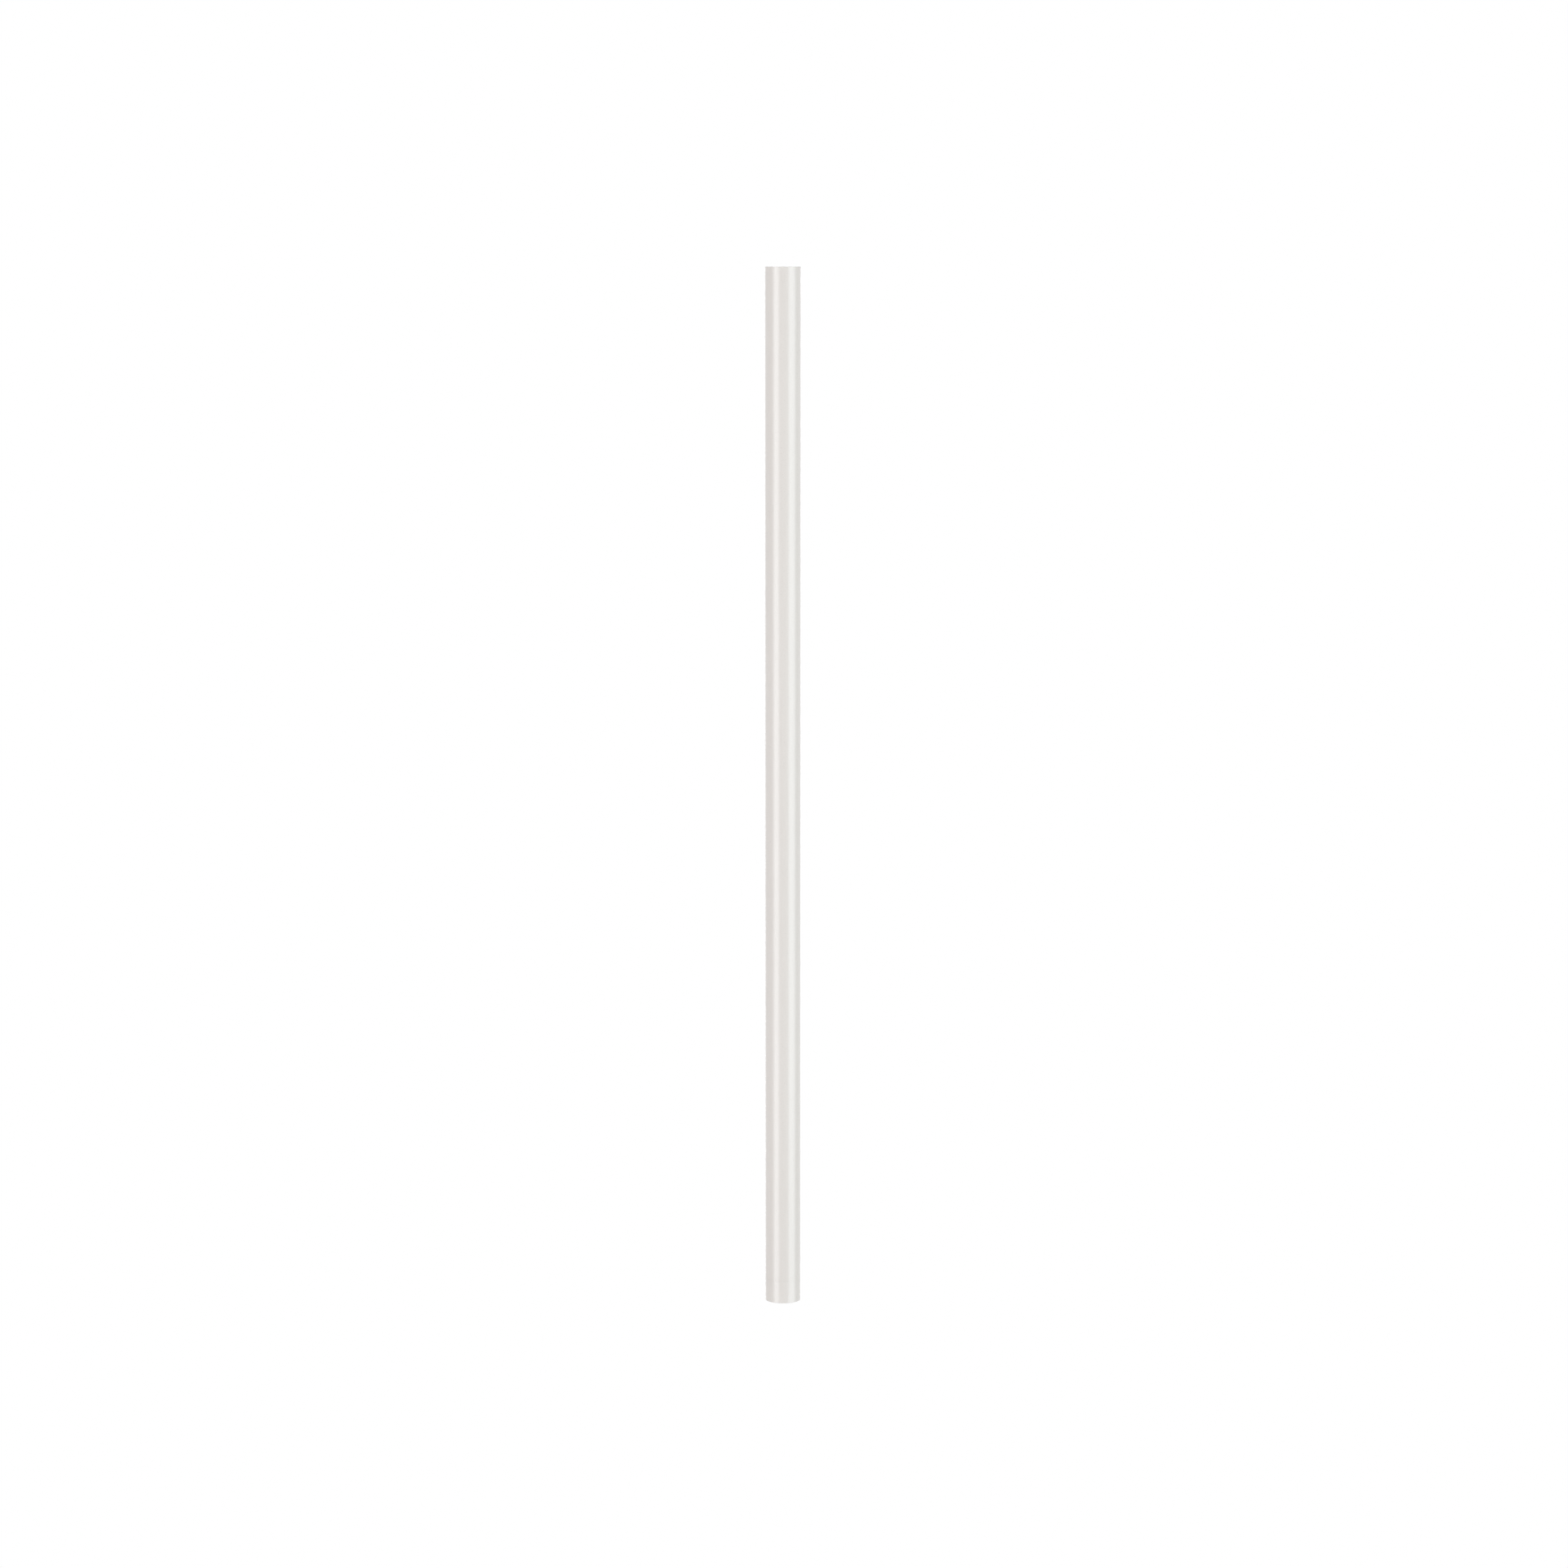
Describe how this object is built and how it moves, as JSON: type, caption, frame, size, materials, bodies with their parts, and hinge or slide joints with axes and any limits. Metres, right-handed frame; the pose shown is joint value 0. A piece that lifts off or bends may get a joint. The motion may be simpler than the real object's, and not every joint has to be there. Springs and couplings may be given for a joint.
{
  "type": "telescopic white cane",
  "caption": "Plain white telescopic cane, closed: a straight round hand tube with a flush cap and a flush tip, and twist-locked inner tubes that slide out of its lower end.",
  "frame": {"origin": "centre of the tip's foot, with the cane closed", "axes": "+Z along the cane from the tip up to the cap; the cane is round, so X and Y have no marked direction"},
  "size_m": [0.016, 0.016, 0.47],
  "materials": {
    "white_coat": "satin",
    "white_nylon": "satin",
    "black_nylon": "satin",
    "grey_nylon": "satin",
    "plated_steel": "satin",
    "bare_aluminium": "satin",
    "black_rubber": "matte"
  },
  "bodies": {
    "hand_section": {"hand_tube": "white_coat", "top_cap": "white_nylon", "buffer_pad": "black_rubber", "upper_bush": "black_nylon"},
    "upper_sleeve": {"upper_lock_sleeve": "black_nylon"},
    "upper_nut": {"upper_cone_nut": "grey_nylon"},
    "middle_section": {"middle_tube": "white_coat", "upper_lock_plug": "grey_nylon", "upper_lock_spindle": "plated_steel", "upper_stop_nut": "plated_steel", "lower_bush": "black_nylon"},
    "lower_sleeve": {"lower_lock_sleeve": "black_nylon"},
    "lower_nut": {"lower_cone_nut": "grey_nylon"},
    "tip_section": {"tip_tube": "white_coat", "lower_lock_plug": "grey_nylon", "lower_lock_spindle": "plated_steel", "lower_stop_nut": "plated_steel", "tip_ferrule": "bare_aluminium", "tip_stud": "plated_steel", "tip": "white_nylon"}
  },
  "joints": [
    {"name": "upper_slide", "type": "slide", "parent": "hand_section", "child": "upper_sleeve", "axis": [0, 0, -1], "range_m": [0, 0.3843]},
    {"name": "upper_twist", "type": "hinge", "parent": "upper_sleeve", "child": "middle_section", "pos_m": [0, 0, 0.4227], "axis": [0, 0, 1], "range_deg": [0, 270]},
    {"name": "upper_nut_travel", "type": "slide", "parent": "upper_sleeve", "child": "upper_nut", "axis": [0, 0, -1], "range_m": [0, 0.0006]},
    {"name": "lower_slide", "type": "slide", "parent": "middle_section", "child": "lower_sleeve", "axis": [0, 0, -1], "range_m": [0, 0.3418]},
    {"name": "lower_twist", "type": "hinge", "parent": "lower_sleeve", "child": "tip_section", "pos_m": [0, 0, 0.37728], "axis": [0, 0, 1], "range_deg": [0, 270]},
    {"name": "lower_nut_travel", "type": "slide", "parent": "lower_sleeve", "child": "lower_nut", "axis": [0, 0, -1], "range_m": [0, 0.000525]}
  ],
  "couplings": [
    {"joint": "upper_nut_travel", "follows": "upper_twist", "m_per_rad": 0.00012732},
    {"joint": "lower_nut_travel", "follows": "lower_twist", "m_per_rad": 0.00011141}
  ]
}
